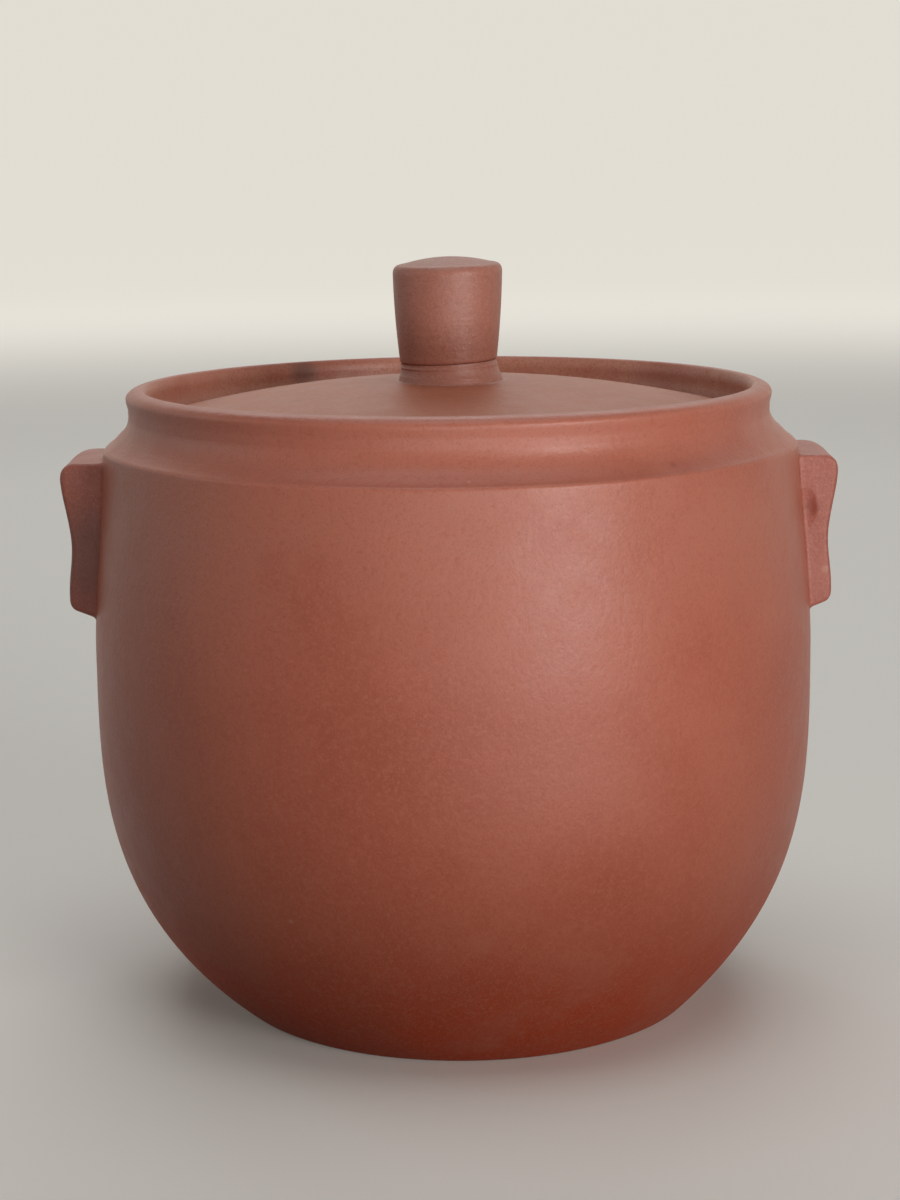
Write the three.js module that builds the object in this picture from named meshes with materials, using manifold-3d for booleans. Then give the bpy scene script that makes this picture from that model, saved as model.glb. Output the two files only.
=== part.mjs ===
// A lidded jar of unglazed Yixing clay, luted together from slab-made elements.
// Units are millimetres and +Z is up. The origin is the middle of the foot, at table height.
// The two lugs stand on the X axis, and the jar is round about the Z axis.

import * as THREE from "three";
import { mergeVertices } from "three/addons/utils/BufferGeometryUtils.js";
import Module from "manifold-3d";

const wasm = await Module();
wasm.setup();

// Outside line of the body: foot, belly and crease, with how far each one's tangent reaches
const footRadius = 30.9;
const footFlareAngle = 41;
const footFlareReach = 24;
const bellyRadius = 48;
const bellyHeight = 48.7;
const bellyReachDown = 16.6;
const bellyReachUp = 7.3;
const creaseRadius = 46.1;
const creaseHeight = 76.3;
const creaseLeanAngle = 2.8;
const creaseReachDown = 8.3;

// Slab thicknesses of the jar
const wallThickness = 3.2;
const floorThickness = 3.4;
const shoulderThickness = 3.2;

// The ring that the jar stands on, and the pressed-in middle of its underside
const footRingWidth = 4.5;
const footRecessDepth = 0.9;
const footRecessSlope = 3;

// Shoulder, neck and mouth
const shoulderRise = 1.25;
const shoulderShelf = 2.1;
const neckFlareWidth = 1.45;
const neckFlareHeight = 2.55;
const neckFootSlope = 38;
const neckFootReach = 1.6;
const neckThroatReach = 0.3;
const neckStraightHeight = 1.7;
const neckThickness = 3.2;
const lipHeight = 1.8;
const lipBulge = 0.27;
const lipOuterDrop = 1.15;
const lipOuterInset = 2.07;
const lipInnerDrop = 1.4;
const ledgeWidth = 4.2;

// Lid
const lidClearance = 0.7;
const lidEdgeThickness = 2;
const lidEdgeRounding = 0.5;
const lidDomeRise = 4.55;
const lidPlateThickness = 2.9;
const flangeClearance = 0.5;
const flangeThickness = 2.6;
const flangeDepth = 6.5;
const flangeRounding = 0.6;

// Knob and the skirt under it
const skirtFootRadius = 6.9;
const skirtTopRadius = 6.36;
const skirtToeHeight = 0.4;
const skirtHeight = 2.65;
const knobFootRadius = 6.5;
const knobHeadRadius = 7.27;
const knobSwell = 0.26;
const knobHeight = 13.7;
const knobFootRounding = 0.5;
const knobEdgeRounding = 1.2;
const knobCrown = 0.85;

// Lugs: how far each part of the outer edge stands off the wall, and its drop from the lug's top
const lugTopDrop = 1.9;
const lugHeight = 20.5;
const lugWidth = 15.4;
const lugHeadStandOff = 3.75;
const lugHeadDrop = 1.9;
const lugHeadRounding = 1.3;
const lugWaistStandOff = 2.55;
const lugWaistDrop = 11.2;
const lugFootStandOff = 3.1;
const lugFootDrop = 17.5;
const lugFootRounding = 1.4;
const lugFootRise = 0.9;
const lugEdgePull = 3.2;
const lugFrontRounding = 0.8;
const lugBackRounding = 8.7;
const lugBackInset = 3.6;
const lugRootDepth = 2;
const lutingGap = 0.3;

// How far the shapes that trim a lug reach past it, and how thick the one for the wall is
const trimMargin = 1;
const wallTrimThickness = 6;

// How finely curves are cut into straight pieces
const bodySides = 64;
const lidSides = 64;
const knobSides = 40;
const wallSteps = 14;
const domeSteps = 6;
const curveSteps = 5;
const arcSteps = 3;
const searchSteps = 40;

// Heights and radii that follow from the sizes above
const shoulderTop = creaseHeight + shoulderRise;
const shoulderUnder = shoulderTop - shoulderThickness;
const neckFootRadius = creaseRadius - shoulderShelf;
const neckRadius = neckFootRadius - neckFlareWidth;
const mouthRadius = neckRadius - neckThickness;
const lipUnder = shoulderTop + neckFlareHeight + neckStraightHeight;
const lipTop = lipUnder + lipHeight;
const openingRadius = mouthRadius - ledgeWidth;

const lidRadius = mouthRadius - lidClearance;
const lidUnder = shoulderTop;
const lidEdgeTop = lidUnder + lidEdgeThickness;
const domeRadius = (lidRadius ** 2 + lidDomeRise ** 2) / (2 * lidDomeRise);
const domeCentre = lidEdgeTop + lidDomeRise - domeRadius;
const flangeRadius = openingRadius - flangeClearance;
const flangeInnerRadius = flangeRadius - flangeThickness;

const skirtFootHeight = domeHeightAt(skirtFootRadius, domeRadius);
const skirtTop = skirtFootHeight + skirtHeight;
const knobTop = skirtTop + knobHeight;

const bodyLine = bodyOutline();
const lugTop = creaseHeight - lugTopDrop;
const lugBottom = lugTop - lugHeight;
const lugSeatRadius = wallRadiusAt((lugTop + lugBottom) / 2);

// Small helpers

function point(radius, height) {
  return new THREE.Vector2(radius, height);
}

function bezier(start, pullStart, pullEnd, end, steps) {
  return new THREE.CubicBezierCurve(start, pullStart, pullEnd, end).getPoints(steps);
}

function bend(start, corner, end, steps) {
  return new THREE.QuadraticBezierCurve(start, corner, end).getPoints(steps);
}

// Height of a sphere about the dome's centre, over a radius
function domeHeightAt(radius, sphereRadius) {
  return domeCentre + Math.sqrt(sphereRadius ** 2 - radius ** 2);
}

// A solid turned about Z. The outline goes anticlockwise: up the outside and down the inside.
function turned(outline, sides) {
  const geometry = new THREE.LatheGeometry(outline, sides);
  geometry.rotateX(Math.PI / 2);
  return geometry;
}

function turnedRing(outline, sides) {
  return turned([...outline, outline[0].clone()], sides);
}

// Body line, from the foot through the belly to the crease

function bodyOutline() {
  const flare = THREE.MathUtils.degToRad(footFlareAngle);
  const lean = THREE.MathUtils.degToRad(creaseLeanAngle);
  const foot = point(footRadius, 0);
  const footPull = point(
    footRadius + footFlareReach * Math.cos(flare),
    footFlareReach * Math.sin(flare),
  );
  const belly = point(bellyRadius, bellyHeight);
  const bellyPullDown = point(bellyRadius, bellyHeight - bellyReachDown);
  const bellyPullUp = point(bellyRadius, bellyHeight + bellyReachUp);
  const crease = point(creaseRadius, creaseHeight);
  const creasePull = point(
    creaseRadius + creaseReachDown * Math.sin(lean),
    creaseHeight - creaseReachDown * Math.cos(lean),
  );
  const line = new THREE.CurvePath();
  line.add(new THREE.CubicBezierCurve(foot, footPull, bellyPullDown, belly));
  line.add(new THREE.CubicBezierCurve(belly, bellyPullUp, creasePull, crease));
  return line;
}

// A point of the body line, moved into the wall by a depth
function bodyPoint(share, depth) {
  const place = bodyLine.getPointAt(share);
  const along = bodyLine.getTangentAt(share);
  return point(place.x - along.y * depth, place.y + along.x * depth);
}

// The share of the body line's length at which the moved line passes a height
function shareAtHeight(height, depth) {
  let low = 0;
  let high = 1;
  for (let step = 0; step < searchSteps; step += 1) {
    const middle = (low + high) / 2;
    if (bodyPoint(middle, depth).y < height) low = middle;
    else high = middle;
  }
  return (low + high) / 2;
}

function wallRadiusAt(height) {
  return bodyPoint(shareAtHeight(height, 0), 0).x;
}

// Points of the body line between two heights, upwards, with both ends exactly at their heights
function bodyStretch(fromHeight, toHeight, depth, steps) {
  const first = shareAtHeight(fromHeight, depth);
  const last = shareAtHeight(toHeight, depth);
  const points = [];
  for (let step = 0; step <= steps; step += 1) {
    points.push(bodyPoint(first + ((last - first) * step) / steps, depth));
  }
  points[0].y = fromHeight;
  points[steps].y = toHeight;
  return points;
}

// Jar elements

function baseDisc() {
  const ringInner = footRadius - footRingWidth;
  const recessEdge = point(ringInner - footRecessSlope, footRecessDepth);
  const slopeMiddle = ringInner - footRecessSlope / 2;
  return turned([
    point(0, footRecessDepth),
    ...bezier(
      recessEdge,
      point(slopeMiddle, footRecessDepth),
      point(slopeMiddle, 0),
      point(ringInner, 0),
      curveSteps,
    ),
    ...bodyStretch(0, floorThickness, 0, arcSteps),
    point(0, floorThickness),
  ], bodySides);
}

function bodyWall() {
  const outside = bodyStretch(floorThickness, shoulderUnder, 0, wallSteps);
  const inside = bodyStretch(floorThickness, shoulderUnder, wallThickness, wallSteps);
  return turnedRing([...outside, ...inside.reverse()], bodySides);
}

function shoulderRing() {
  return turnedRing([
    point(openingRadius, shoulderUnder),
    ...bodyStretch(shoulderUnder, creaseHeight, 0, 1),
    point(neckFootRadius, shoulderTop),
    point(openingRadius, shoulderTop),
  ], bodySides);
}

function neckCollar() {
  const slope = THREE.MathUtils.degToRad(neckFootSlope);
  const foot = point(neckFootRadius, shoulderTop);
  const throat = point(neckRadius, shoulderTop + neckFlareHeight);
  const footPull = point(
    foot.x - neckFootReach * Math.cos(slope),
    foot.y + neckFootReach * Math.sin(slope),
  );
  const throatPull = point(throat.x, throat.y - neckThroatReach);
  return turnedRing([
    ...bezier(foot, footPull, throatPull, throat, curveSteps),
    point(neckRadius, lipUnder),
    point(mouthRadius, lipUnder),
    point(mouthRadius, shoulderTop),
  ], bodySides);
}

function mouthLip() {
  const widest = neckRadius + lipBulge;
  const crown = point(widest - lipOuterInset, lipTop);
  return turnedRing([
    point(mouthRadius, lipUnder),
    point(neckRadius, lipUnder),
    ...bend(
      point(widest, lipTop - lipOuterDrop),
      point(widest, lipTop),
      crown,
      curveSteps,
    ),
    ...bend(
      crown,
      point(mouthRadius, lipTop),
      point(mouthRadius, lipTop - lipInnerDrop),
      curveSteps,
    ).slice(1),
  ], bodySides);
}

// Lid elements

function lidPlate() {
  const hollowRadius = domeRadius - lidPlateThickness;
  const hollowEdge = flangeInnerRadius - lidPlateThickness / 2;
  const outline = [];
  for (let step = 0; step <= domeSteps; step += 1) {
    const radius = (hollowEdge * step) / domeSteps;
    outline.push(point(radius, domeHeightAt(radius, hollowRadius)));
  }
  outline.push(point(flangeInnerRadius, lidUnder));
  outline.push(point(lidRadius, lidUnder));
  outline.push(point(lidRadius, lidEdgeTop - lidEdgeRounding));
  for (let step = domeSteps; step >= 0; step -= 1) {
    const share = step / domeSteps;
    const radius = skirtFootRadius + (lidRadius - lidEdgeRounding - skirtFootRadius) * share;
    outline.push(point(radius, domeHeightAt(radius, domeRadius)));
  }
  outline.push(point(0, skirtFootHeight));
  return turned(outline, lidSides);
}

function lidFlange() {
  const bottom = lidUnder - flangeDepth;
  return turnedRing([
    point(flangeInnerRadius + flangeRounding, bottom),
    point(flangeRadius - flangeRounding, bottom),
    point(flangeRadius, bottom + flangeRounding),
    point(flangeRadius, lidUnder),
    point(flangeInnerRadius, lidUnder),
    point(flangeInnerRadius, bottom + flangeRounding),
  ], lidSides);
}

function knobSkirt() {
  const toe = point(skirtFootRadius, skirtFootHeight + skirtToeHeight);
  const top = point(skirtTopRadius, skirtTop);
  return turned([
    point(0, skirtFootHeight),
    point(skirtFootRadius, skirtFootHeight),
    ...bend(toe, point(skirtTopRadius, (toe.y + top.y) / 2), top, curveSteps),
    point(0, skirtTop),
  ], knobSides);
}

function knob() {
  const edgeTop = knobTop - knobCrown;
  const flankFoot = point(knobFootRadius, skirtTop + knobFootRounding);
  const flankHead = point(knobHeadRadius, edgeTop - knobEdgeRounding);
  const flankMiddle = point(
    (knobFootRadius + knobHeadRadius) / 2 + knobSwell,
    (flankFoot.y + flankHead.y) / 2,
  );
  const crownEdge = point(knobHeadRadius - knobEdgeRounding, edgeTop);
  return turned([
    point(0, skirtTop),
    point(knobFootRadius - knobFootRounding, skirtTop),
    ...bend(flankFoot, flankMiddle, flankHead, curveSteps),
    ...bend(flankHead, point(knobHeadRadius, edgeTop), crownEdge, arcSteps).slice(1),
    ...bend(crownEdge, point(crownEdge.x / 2, knobTop), point(0, knobTop), arcSteps).slice(1),
  ], knobSides);
}

// Lugs

function toSolid(geometry) {
  geometry.deleteAttribute("normal");
  geometry.deleteAttribute("uv");
  const merged = mergeVertices(geometry);
  return new wasm.Manifold(new wasm.Mesh({
    numProp: 3,
    vertProperties: merged.attributes.position.array,
    triVerts: Uint32Array.from(merged.index.array),
  }));
}

function fromSolid(solid) {
  const mesh = solid.getMesh();
  const geometry = new THREE.BufferGeometry();
  geometry.setAttribute("position", new THREE.BufferAttribute(mesh.vertProperties, 3));
  geometry.setIndex(new THREE.BufferAttribute(mesh.triVerts, 1));
  return geometry;
}

// A shape drawn in X and Z, as thick as depth, with its middle on the Y axis's zero
function acrossY(shape, depth) {
  const options = { depth, bevelEnabled: false, curveSegments: curveSteps };
  const geometry = new THREE.ExtrudeGeometry(shape, options);
  geometry.rotateX(Math.PI / 2);
  geometry.translate(0, depth / 2, 0);
  return toSolid(geometry);
}

// The lug seen from the front: a wide head, a waist and a wide foot
function lugSide() {
  const root = lugSeatRadius - lugRootDepth;
  const head = lugSeatRadius + lugHeadStandOff;
  const waist = lugSeatRadius + lugWaistStandOff;
  const foot = lugSeatRadius + lugFootStandOff;
  const headHeight = lugTop - lugHeadDrop;
  const waistHeight = lugTop - lugWaistDrop;
  const footHeight = lugTop - lugFootDrop;
  const footUnder = lugBottom + lugFootRise;
  const halfPull = lugEdgePull / 2;
  const shape = new THREE.Shape();
  shape.moveTo(root, lugBottom);
  shape.lineTo(lugSeatRadius, lugBottom);
  shape.lineTo(foot - lugFootRounding, footUnder);
  shape.quadraticCurveTo(foot, footUnder, foot, footHeight);
  shape.bezierCurveTo(foot, footHeight + halfPull, waist, waistHeight - lugEdgePull, waist, waistHeight);
  shape.bezierCurveTo(waist, waistHeight + lugEdgePull, head, headHeight - halfPull, head, headHeight);
  shape.quadraticCurveTo(head, lugTop, head - lugHeadRounding, lugTop);
  shape.lineTo(root, lugTop);
  return shape;
}

// The lug seen from above: nearly square at its front corner, widely rounded at its back corner
function lugPlan() {
  const root = lugSeatRadius - lugRootDepth;
  const head = lugSeatRadius + lugHeadStandOff;
  const half = lugWidth / 2;
  const shape = new THREE.Shape();
  shape.moveTo(root, -half);
  shape.lineTo(head - lugFrontRounding, -half);
  shape.quadraticCurveTo(head, -half, head, lugFrontRounding - half);
  shape.lineTo(head, half - lugBackRounding);
  shape.quadraticCurveTo(head, half, head - lugBackInset, half);
  shape.lineTo(root, half);
  return shape;
}

// The lug on +X, as a solid
function lug() {
  const side = acrossY(lugSide(), lugWidth + trimMargin * 2);
  const planOptions = { depth: lugHeight + trimMargin * 2, bevelEnabled: false, curveSegments: curveSteps };
  const planGeometry = new THREE.ExtrudeGeometry(lugPlan(), planOptions);
  planGeometry.translate(0, 0, lugBottom - trimMargin);
  const block = side.intersect(toSolid(planGeometry));

  const low = lugBottom - trimMargin;
  const high = lugTop + trimMargin;
  const coreRadius = lugSeatRadius - wallTrimThickness;
  const wall = toSolid(turnedRing([
    point(coreRadius, low),
    ...bodyStretch(low, high, -lutingGap, wallSteps),
    point(coreRadius, high),
  ], bodySides));
  return block.subtract(wall);
}

// Fired clay, a little different in colour from element to element

function clay(colour, roughness) {
  return new THREE.MeshStandardMaterial({ color: colour, roughness, metalness: 0 });
}

function piece(name, geometry, material) {
  const mesh = new THREE.Mesh(geometry, material);
  mesh.name = name;
  return mesh;
}

const wallColour = 0xad5a43;
const neckColour = 0xad5c46;
const lidColour = 0xaf654c;
const knobColour = 0xa76856;
const lugColour = 0xa85e4d;
const burnished = 0.5;
const matt = 0.62;

const jar = new THREE.Group();
jar.name = "jar";
jar.add(piece("base_disc", baseDisc(), clay(wallColour, matt)));
jar.add(piece("body_wall", bodyWall(), clay(wallColour, burnished)));
jar.add(piece("shoulder_ring", shoulderRing(), clay(neckColour, burnished)));
jar.add(piece("neck_collar", neckCollar(), clay(neckColour, burnished)));
jar.add(piece("mouth_lip", mouthLip(), clay(neckColour, burnished)));

const rightLug = lug();
const leftLug = rightLug.mirror([1, 0, 0]);
jar.add(piece("lug_right", fromSolid(rightLug), clay(lugColour, matt)));
jar.add(piece("lug_left", fromSolid(leftLug), clay(lugColour, matt)));

const lid = new THREE.Group();
lid.name = "lid";
lid.add(piece("lid_plate", lidPlate(), clay(lidColour, matt)));
lid.add(piece("lid_flange", lidFlange(), clay(lidColour, matt)));
lid.add(piece("knob_skirt", knobSkirt(), clay(knobColour, matt)));
lid.add(piece("knob", knob(), clay(knobColour, burnished)));

const liddedJar = new THREE.Group();
liddedJar.name = "lidded_jar";
liddedJar.add(jar);
liddedJar.add(lid);

export default liddedJar;
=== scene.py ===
"""Looks of the lidded clay jar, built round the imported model.

Sizes are in millimetres unless they say otherwise.
"""

import math

import bpy
import numpy as np
from mathutils import Matrix, Vector


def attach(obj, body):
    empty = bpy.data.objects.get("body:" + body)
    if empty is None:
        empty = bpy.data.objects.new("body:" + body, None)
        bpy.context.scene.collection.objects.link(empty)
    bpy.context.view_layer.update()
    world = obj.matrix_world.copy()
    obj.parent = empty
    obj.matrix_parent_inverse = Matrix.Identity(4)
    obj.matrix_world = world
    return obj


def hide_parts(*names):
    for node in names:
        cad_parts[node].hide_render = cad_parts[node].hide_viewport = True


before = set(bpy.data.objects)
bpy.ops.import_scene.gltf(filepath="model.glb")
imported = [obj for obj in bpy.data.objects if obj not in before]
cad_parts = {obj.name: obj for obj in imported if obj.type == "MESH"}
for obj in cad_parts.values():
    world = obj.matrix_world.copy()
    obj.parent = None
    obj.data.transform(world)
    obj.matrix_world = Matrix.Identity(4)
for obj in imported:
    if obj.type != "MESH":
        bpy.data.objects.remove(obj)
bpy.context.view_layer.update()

MM = 0.001

# Body line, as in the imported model
FOOT_RADIUS = 30.9
FOOT_FLARE_ANGLE = 41
FOOT_FLARE_REACH = 24
BELLY_RADIUS = 48
BELLY_HEIGHT = 48.7
BELLY_REACH_DOWN = 16.6
BELLY_REACH_UP = 7.3
CREASE_RADIUS = 46.1
CREASE_HEIGHT = 76.3
CREASE_LEAN_ANGLE = 2.8
CREASE_REACH_DOWN = 8.3
WALL_THICKNESS = 3.2
FLOOR_THICKNESS = 3.4
SHOULDER_THICKNESS = 3.2
FOOT_RING_WIDTH = 4.5
FOOT_RECESS_DEPTH = 0.9
FOOT_RECESS_SLOPE = 3
FOOT_EDGE_ROUNDING = 0.45

# Shoulder, neck and mouth
SHOULDER_RISE = 1.25
SHOULDER_SHELF = 2.1
CREASE_ROUNDING = 0.4
NECK_FLARE_WIDTH = 1.45
NECK_FLARE_HEIGHT = 2.55
NECK_FOOT_SLOPE = 38
NECK_FOOT_REACH = 1.6
NECK_THROAT_REACH = 0.3
NECK_STRAIGHT_HEIGHT = 1.7
NECK_THICKNESS = 3.2
LIP_HEIGHT = 1.8
LIP_BULGE = 0.27
LIP_OUTER_DROP = 1.15
LIP_OUTER_INSET = 2.07
LIP_SWELL_REACH = 0.9
NECK_INNER_FLARE = 0.6
LEDGE_WIDTH = 4.2

# Lid
LID_CLEARANCE = 0.7
LID_EDGE_THICKNESS = 2
LID_EDGE_ROUNDING = 0.5
LID_DOME_RISE = 4.55
LID_PLATE_THICKNESS = 2.9
FLANGE_CLEARANCE = 0.5
FLANGE_THICKNESS = 2.6
FLANGE_DEPTH = 6.5
FLANGE_ROUNDING = 0.6

# Knob and skirt
SKIRT_FOOT_RADIUS = 6.9
SKIRT_TOP_RADIUS = 6.36
SKIRT_TOE_HEIGHT = 0.4
SKIRT_HEIGHT = 2.65
SKIRT_FILLET = 0.5
SKIRT_SINK = 0.15
KNOB_FOOT_RADIUS = 6.5
KNOB_HEAD_RADIUS = 7.27
KNOB_SWELL = 0.26
KNOB_HEIGHT = 13.7
KNOB_FOOT_ROUNDING = 0.5
KNOB_EDGE_ROUNDING = 1.2
KNOB_CROWN = 0.85

# Fine ridges round the skirt: each one's share of the skirt's height and how far it stands out,
# and the share of the height over which each fades
SKIRT_RIDGES = ((0.3, 0.05), (0.78, 0.06))
SKIRT_RIDGE_WIDTH = 0.07

# Lugs
LUG_TOP_DROP = 1.9
LUG_HEIGHT = 20.5
LUG_WIDTH = 15.4
LUG_HEAD_STAND_OFF = 3.75
LUG_HEAD_DROP = 1.9
LUG_HEAD_ROUNDING = 2.3
LUG_WAIST_STAND_OFF = 2.55
LUG_WAIST_DROP = 11.2
LUG_FOOT_STAND_OFF = 3.1
LUG_FOOT_DROP = 17.5
LUG_FOOT_ROUNDING = 1.1
LUG_FOOT_SLOPE = 0.4
LUG_FRONT_ROUNDING = 0.8
LUG_BACK_ROUNDING = 8.7
LUG_BACK_INSET = 3.6
LUG_EDGE_SOFTENING = 0.5

# How much further out each lug was set than its like
LUG_RIGHT_FURTHER_OUT = 0.25
LUG_LEFT_FURTHER_OUT = 0.75

# The slip that joins a lug to the wall: its fillet, how far its edge is sunk, and how deep it goes
SLIP_REACH = 0.6
SLIP_SINK = 0.06
SLIP_DEPTH = 1.1

# The thumb dent in the front of the right lug: where its middle is, and its half sizes
DENT_PAST_CREASE = 0.4
DENT_PAST_FRONT = 0.25
DENT_DROP = 7
DENT_SIZE = (1.3, 0.65, 2.5)

# Waves that hand work leaves: each one's strength, how many go round the jar, where it starts, and
# how much height turns it by a radian. They fade within the calm radius.
WAVES = ((0.55, 2, 1.1, 31), (0.3, 3, -0.6, 17), (0.2, 5, 2.3, -9), (0.12, 9, 0.4, 6))
CALM_RADIUS = 5
BODY_UNEVENNESS = 0.12
LID_UNEVENNESS = 0.06

# Waves in a lug: their size, how fast they run out, across and up, in radians per millimetre, where
# the upward ones start, and how much those lean across
LUG_UNEVENNESS = 0.05
LUG_WAVES_OUT = 0.9
LUG_WAVES_ACROSS = 0.45
LUG_WAVES_UP = 0.55
LUG_WAVES_START = 0.7
LUG_WAVES_SKEW = 0.3

# How far hand work leaves the jar and the lid from true: tilts in degrees, shifts and sags
LIP_TILT = 0.85
NECK_SHIFT = -0.15
FOOT_SHIFT = 1.2
FOOT_SHIFT_HEIGHT = 8
CREASE_SAG = 0.6
CREASE_SAG_SPREAD = 18
KNOB_FOOT_TILT = 2.2
KNOB_TOP_TILT = 1.0
SKIRT_FOOT_SHIFT = 0.2
KNOB_SHIFT = -0.1

# Heights and radii that follow
SHOULDER_TOP = CREASE_HEIGHT + SHOULDER_RISE
SHOULDER_UNDER = SHOULDER_TOP - SHOULDER_THICKNESS
NECK_FOOT_RADIUS = CREASE_RADIUS - SHOULDER_SHELF
NECK_RADIUS = NECK_FOOT_RADIUS - NECK_FLARE_WIDTH
MOUTH_RADIUS = NECK_RADIUS - NECK_THICKNESS
LIP_UNDER = SHOULDER_TOP + NECK_FLARE_HEIGHT + NECK_STRAIGHT_HEIGHT
LIP_TOP = LIP_UNDER + LIP_HEIGHT
OPENING_RADIUS = MOUTH_RADIUS - LEDGE_WIDTH
LID_RADIUS = MOUTH_RADIUS - LID_CLEARANCE
LID_EDGE_TOP = SHOULDER_TOP + LID_EDGE_THICKNESS
DOME_RADIUS = (LID_RADIUS ** 2 + LID_DOME_RISE ** 2) / (2 * LID_DOME_RISE)
DOME_CENTRE = LID_EDGE_TOP + LID_DOME_RISE - DOME_RADIUS
FLANGE_RADIUS = OPENING_RADIUS - FLANGE_CLEARANCE
FLANGE_INNER_RADIUS = FLANGE_RADIUS - FLANGE_THICKNESS
SKIRT_FOOT_HEIGHT = DOME_CENTRE + math.sqrt(DOME_RADIUS ** 2 - SKIRT_FOOT_RADIUS ** 2)
SKIRT_TOP = SKIRT_FOOT_HEIGHT + SKIRT_HEIGHT
KNOB_TOP = SKIRT_TOP + KNOB_HEIGHT
LUG_TOP = CREASE_HEIGHT - LUG_TOP_DROP
LUG_BOTTOM = LUG_TOP - LUG_HEIGHT
DENT_PLACE = (CREASE_RADIUS + DENT_PAST_CREASE, -LUG_WIDTH / 2 - DENT_PAST_FRONT, LUG_TOP - DENT_DROP)

# How finely pieces are divided: round ones about the axis, each half of a body line, and lugs in cells
SIDES = 256
KNOB_SIDES = 160
LINE_STEPS = 400
LUG_CELL = 0.22

# Into how many parts the stretches of outlines are divided
FOOT_RECESS_STEPS = 10
FOOT_SIDE_STEPS = 16
WALL_OUTSIDE_STEPS = 160
WALL_INSIDE_STEPS = 80
SHOULDER_SIDE_STEPS = 14
SHOULDER_SLOPE_STEPS = 12
NECK_FLARE_STEPS = 24
NECK_INSIDE_STEPS = 14
LIP_OUTSIDE_STEPS = 16
LIP_INSIDE_STEPS = 12
LID_HOLLOW_STEPS = 23
LID_DOME_STEPS = 69
FLANGE_SIDE_STEPS = 10
SKIRT_SIDE_STEPS = 60
KNOB_FOOT_STEPS = 5
KNOB_FLANK_STEPS = 30
KNOB_EDGE_STEPS = 10
KNOB_CROWN_STEPS = 14
CORNER_STEPS = 6
FILLET_STEPS = 8
FLAT_STEPS = 6

# The box in which a lug's surface is looked for: how deep into the jar it goes, and its margin
LUG_BOX_DEPTH = 2.8
LUG_BOX_MARGIN = 0.4

# The angle from which an edge looks sharp, in degrees, and what is too small to count
SHARP_ANGLE = 26
TINY = 1e-6


# Outlines

def bezier(start, pull_start, pull_end, end, steps):
    """Points of a cubic curve, with both ends."""
    points = []
    for step in range(steps + 1):
        t = step / steps
        weights = ((1 - t) ** 3, 3 * t * (1 - t) ** 2, 3 * t * t * (1 - t), t ** 3)
        points.append(tuple(
            sum(w * p[axis] for w, p in zip(weights, (start, pull_start, pull_end, end)))
            for axis in (0, 1)
        ))
    return points


def bend(start, corner, end, steps):
    """Points of a rounded corner, with both ends."""
    toward = 2 / 3  # makes the cubic curve follow a parabola
    pull_start = tuple(s + (c - s) * toward for s, c in zip(start, corner))
    pull_end = tuple(e + (c - e) * toward for e, c in zip(end, corner))
    return bezier(start, pull_start, pull_end, end, steps)


def straight(start, end, steps):
    """Points of a straight line, without its first."""
    return [
        tuple(s + (e - s) * step / steps for s, e in zip(start, end))
        for step in range(1, steps + 1)
    ]


def eased(share):
    """A share from 0 to 1, with a soft start and a soft end."""
    return share * share * (3 - 2 * share)


def body_line(depth):
    """The body's outside line, moved into the wall by a depth: arrays of radii and heights, upwards."""
    flare = math.radians(FOOT_FLARE_ANGLE)
    lean = math.radians(CREASE_LEAN_ANGLE)
    belly = (BELLY_RADIUS, BELLY_HEIGHT)
    lower = bezier(
        (FOOT_RADIUS, 0),
        (FOOT_RADIUS + FOOT_FLARE_REACH * math.cos(flare), FOOT_FLARE_REACH * math.sin(flare)),
        (BELLY_RADIUS, BELLY_HEIGHT - BELLY_REACH_DOWN),
        belly,
        LINE_STEPS,
    )
    upper = bezier(
        belly,
        (BELLY_RADIUS, BELLY_HEIGHT + BELLY_REACH_UP),
        (
            CREASE_RADIUS + CREASE_REACH_DOWN * math.sin(lean),
            CREASE_HEIGHT - CREASE_REACH_DOWN * math.cos(lean),
        ),
        (CREASE_RADIUS, CREASE_HEIGHT),
        LINE_STEPS,
    )
    line = np.array(lower + upper[1:])
    along = np.gradient(line, axis=0)
    along /= np.linalg.norm(along, axis=1)[:, None]
    return line[:, 0] - along[:, 1] * depth, line[:, 1] + along[:, 0] * depth


def body_point(line, height):
    """The point of a body line at a height."""
    radii, heights = line
    return float(np.interp(height, heights, radii)), float(height)


def body_stretch(line, from_height, to_height, steps):
    """Points of a body line between two heights."""
    return [body_point(line, height) for height in np.linspace(from_height, to_height, steps + 1)]


OUTSIDE = body_line(0)
INSIDE = body_line(WALL_THICKNESS)
LUG_SEAT_RADIUS = body_point(OUTSIDE, (LUG_TOP + LUG_BOTTOM) / 2)[0]


def dome_height(radius, sphere_radius=DOME_RADIUS):
    """Height of a sphere about the dome's centre, over a radius."""
    return DOME_CENTRE + math.sqrt(sphere_radius ** 2 - radius ** 2)


# What hand work does to the true shape

def wobble(x, y, z, size):
    """How far a hand-made surface stands off its true place: a few slow waves, the same each run."""
    turn = np.arctan2(y, x)
    return size * sum(
        strength * np.sin(count * turn + start + z / drift) for strength, count, start, drift in WAVES
    )


def share_above(z, start, reach):
    """0 below a height, 1 above it by a reach, and straight between them."""
    return float(np.clip((z - start) / reach, 0, 1))


def jar_centre(z):
    """The jar's middle at a height: the foot stands a little to the right, the neck to the left."""
    foot = FOOT_SHIFT * math.exp(-z / FOOT_SHIFT_HEIGHT)
    neck = NECK_SHIFT * share_above(z, SHOULDER_TOP, NECK_FLARE_HEIGHT)
    return foot + neck, 0.0


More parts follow.
